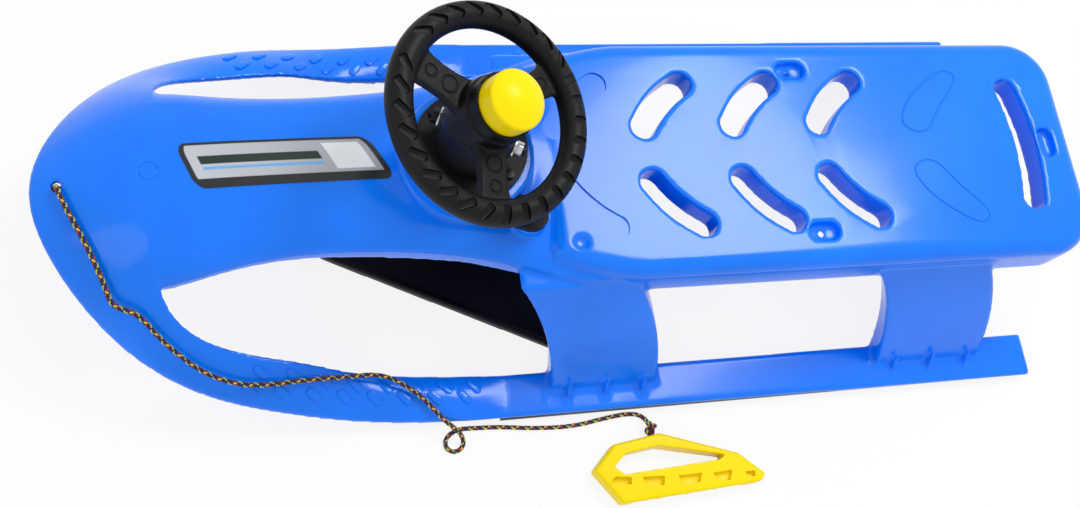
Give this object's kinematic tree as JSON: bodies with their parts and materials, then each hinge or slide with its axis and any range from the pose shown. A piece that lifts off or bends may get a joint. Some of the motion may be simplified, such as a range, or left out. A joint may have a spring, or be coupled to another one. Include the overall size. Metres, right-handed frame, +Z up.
{
  "type": "steering sled",
  "caption": "Child's plastic sled with steel-shod runners, a slotted seat, a steering wheel that turns a ski under the bonnet, a push horn and a tow rope with a handle.",
  "frame": {"origin": "centre of the sled's footprint, on the floor under the runner strips, the tow rope and its handle left out", "axes": "+X towards the tail, -X towards the nose, +Z up, -Y the rider's left side where the rope lies"},
  "size_m": [1, 0.5013, 0.3172],
  "materials": {
    "blue_plastic": "glossy injection-moulded polyethylene, bright blue",
    "black_plastic": "satin black moulded plastic with a fine grain",
    "dark_steel": "black-coated steel, worn bright along its edges",
    "zinc_steel": "zinc-plated steel",
    "white_plastic": "natural white acetal",
    "yellow_plastic": "glossy moulded plastic, warm yellow",
    "horn_rubber": "soft black rubber",
    "rope_braid": "braided polypropylene, navy with yellow and red flecks"
  },
  "bodies": {
    "sled": {"sled_body": "blue_plastic", "column_bearing": "black_plastic", "column_brackets": "black_plastic", "left_runner_strip": "dark_steel", "right_runner_strip": "dark_steel", "bearing_screws": "dark_steel", "strip_rivets": "zinc_steel", "bracket_screws": "zinc_steel", "upper_bush": "white_plastic", "lower_bush": "white_plastic", "pull_handle": "yellow_plastic", "tow_rope": "rope_braid", "stopper_knot": "rope_braid", "handle_knot": "rope_braid"},
    "steering": {"steering_column": "dark_steel", "retaining_collar": "dark_steel", "collar_pin": "zinc_steel", "steering_wheel": "black_plastic", "wheel_bolt": "dark_steel", "wheel_nut": "zinc_steel", "wheel_bolt_washers": "zinc_steel", "steering_ski": "black_plastic", "ski_bolt": "zinc_steel", "ski_nut": "zinc_steel", "ski_bolt_washers": "zinc_steel", "horn_base": "white_plastic", "horn_bellows": "horn_rubber"},
    "horn": {"horn_cap": "yellow_plastic"}
  },
  "joints": [
    {"name": "steering_turn", "type": "hinge", "parent": "sled", "child": "steering", "pos_m": [-0.134, 0, 0.178], "axis": [0, 0, 1], "range_deg": [-2, 54]},
    {"name": "horn_press", "type": "slide", "parent": "steering", "child": "horn", "axis": [-0.3367, 0.1642, -0.9272], "range_m": [0, 0.0045], "stiffness_N_per_m": 800, "springref_m": -0.003, "deforming": ["horn_bellows"]}
  ]
}
